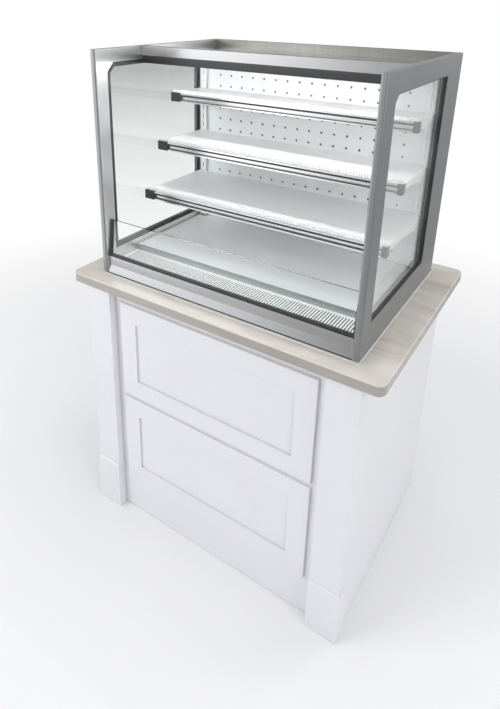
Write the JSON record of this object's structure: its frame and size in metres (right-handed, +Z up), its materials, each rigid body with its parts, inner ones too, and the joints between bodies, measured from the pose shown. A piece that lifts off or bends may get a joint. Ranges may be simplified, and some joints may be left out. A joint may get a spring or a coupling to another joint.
{
  "type": "drop-in refrigerated display counter",
  "caption": "Open-front refrigerated display with stepped shelves, dropped into the stone top of a white panelled counter with louvred service doors.",
  "frame": {"origin": "on the floor, under the middle of the stone top", "axes": "+Z up, the open front faces -Y, +X to the right of someone facing the back"},
  "size_m": [1.094, 0.795, 1.695],
  "materials": {
    "stone": "polished, beige with soft streaks",
    "white_board": "white satin lacquer",
    "hinge_steel": "satin nickel",
    "frame_grey": "smooth grey anodised",
    "pane_glass": "clear toughened glass",
    "black_rubber": "matt black",
    "stainless": "fine brushing",
    "back_steel": "coarse upright brushing",
    "canopy_steel": "fine brushing along the rail",
    "black_trim": "matt black",
    "light_cover": "opal",
    "white_sheet": "white powder coat",
    "grille_white": "white powder coat",
    "price_aluminium": "bright anodised",
    "galvanised": "galvanised",
    "tank_steel": "dull stainless",
    "foam": "rigid foam",
    "grey_plastic": "moulded",
    "fin_aluminium": "bare fins",
    "motor_grey": "dark grey coating",
    "fan_black": "moulded",
    "compressor_black": "black enamel",
    "copper": "drawn copper",
    "box_grey": "grey powder coat",
    "control_black": "moulded"
  },
  "bodies": {
    "cabinet": {"counter_top": "stone", "side_panels": "white_board", "front_board": "white_board", "pilasters": "white_board", "plinth_blocks": "white_board", "front_panels": "white_board", "base_floor": "white_board", "rear_frame": "white_board", "hinge_frame_leaves": "hinge_steel", "side_frames": "frame_grey", "side_glass": "pane_glass", "glass_gaskets": "black_rubber", "roof_panel": "stainless", "canopy_rail": "canopy_steel", "air_honeycomb": "black_trim", "canopy_light": "light_cover", "rear_panel": "back_steel", "duct_panel": "white_sheet", "shelf_standards": "white_sheet", "shelf_brackets": "white_sheet", "deck_rails": "white_sheet", "front_glass": "pane_glass", "front_glass_trim": "black_trim", "front_fascia": "stainless", "mounting_gasket": "black_rubber", "tank_shell": "tank_steel", "tank_insulation": "foam", "tank_liner": "tank_steel", "drain_tube": "grey_plastic", "evaporator_coil": "fin_aluminium", "evaporator_fan_plate": "black_trim", "fan_motors": "motor_grey", "unit_base": "galvanised", "compressor": "compressor_black", "condenser_coil": "fin_aluminium", "condenser_fan_shroud": "galvanised", "condensate_pan": "galvanised", "refrigerant_pipes": "copper", "control_box": "box_grey", "controller": "control_black", "power_gland": "grey_plastic"},
    "left_door_leaf": {"left_door": "white_board", "left_door_hardware": "hinge_steel"},
    "right_door_leaf": {"right_door": "white_board", "right_door_hardware": "hinge_steel"},
    "top_shelf": {"top_shelf_pan": "white_sheet", "top_price_channel": "price_aluminium"},
    "middle_shelf": {"middle_shelf_pan": "white_sheet", "middle_price_channel": "price_aluminium"},
    "bottom_shelf": {"bottom_shelf_pan": "white_sheet", "bottom_price_channel": "price_aluminium"},
    "deck": {"deck_pan": "white_sheet", "deck_front_trim": "stainless"},
    "grille": {"return_grille": "grille_white"},
    "left_fan": {"left_fan_blades": "fan_black"},
    "right_fan": {"right_fan_blades": "fan_black"},
    "condenser_fan": {"condenser_fan_blades": "fan_black"},
    "button": {"set_button": "control_black"},
    "power_switch": {"power_rocker": "control_black"},
    "light_switch": {"light_rocker": "control_black"}
  },
  "joints": [
    {"name": "left_door_hinge", "type": "hinge", "parent": "cabinet", "child": "left_door_leaf", "pos_m": [-0.43025, 0.3865, 0.191], "axis": [0, 0, 1], "range_deg": [0, 110]},
    {"name": "right_door_hinge", "type": "hinge", "parent": "cabinet", "child": "right_door_leaf", "pos_m": [0.43025, 0.3865, 0.191], "axis": [0, 0, -1], "range_deg": [0, 110]},
    {"name": "top_shelf_lift", "type": "slide", "parent": "cabinet", "child": "top_shelf", "axis": [0, 0, 1], "range_m": [0, 0.04]},
    {"name": "middle_shelf_lift", "type": "slide", "parent": "cabinet", "child": "middle_shelf", "axis": [0, 0, 1], "range_m": [0, 0.04]},
    {"name": "bottom_shelf_lift", "type": "slide", "parent": "cabinet", "child": "bottom_shelf", "axis": [0, 0, 1], "range_m": [0, 0.04]},
    {"name": "deck_lift", "type": "slide", "parent": "cabinet", "child": "deck", "axis": [0, 0, 1], "range_m": [0, 0.06]},
    {"name": "grille_lift", "type": "slide", "parent": "cabinet", "child": "grille", "axis": [0, 0, 1], "range_m": [0, 0.04]},
    {"name": "left_fan_spin", "type": "hinge", "parent": "cabinet", "child": "left_fan", "pos_m": [-0.165, -0.1285, 0.8064], "axis": [0, 1, 0], "continuous": true},
    {"name": "right_fan_spin", "type": "hinge", "parent": "cabinet", "child": "right_fan", "pos_m": [0.165, -0.1285, 0.8064], "axis": [0, 1, 0], "continuous": true},
    {"name": "condenser_fan_spin", "type": "hinge", "parent": "cabinet", "child": "condenser_fan", "pos_m": [-0.135, 0.2045, 0.26], "axis": [0, 1, 0], "continuous": true},
    {"name": "set_button_press", "type": "slide", "parent": "cabinet", "child": "button", "axis": [0, -1, 0], "range_m": [0, 0.0015], "stiffness_N_per_m": 400},
    {"name": "power_rocker_tilt", "type": "hinge", "parent": "cabinet", "child": "power_switch", "pos_m": [0.369, 0.3015, 0.521], "axis": [-1, 0, 0], "range_deg": [0, 20]},
    {"name": "light_rocker_tilt", "type": "hinge", "parent": "cabinet", "child": "light_switch", "pos_m": [0.403, 0.3015, 0.521], "axis": [-1, 0, 0], "range_deg": [0, 20]}
  ]
}
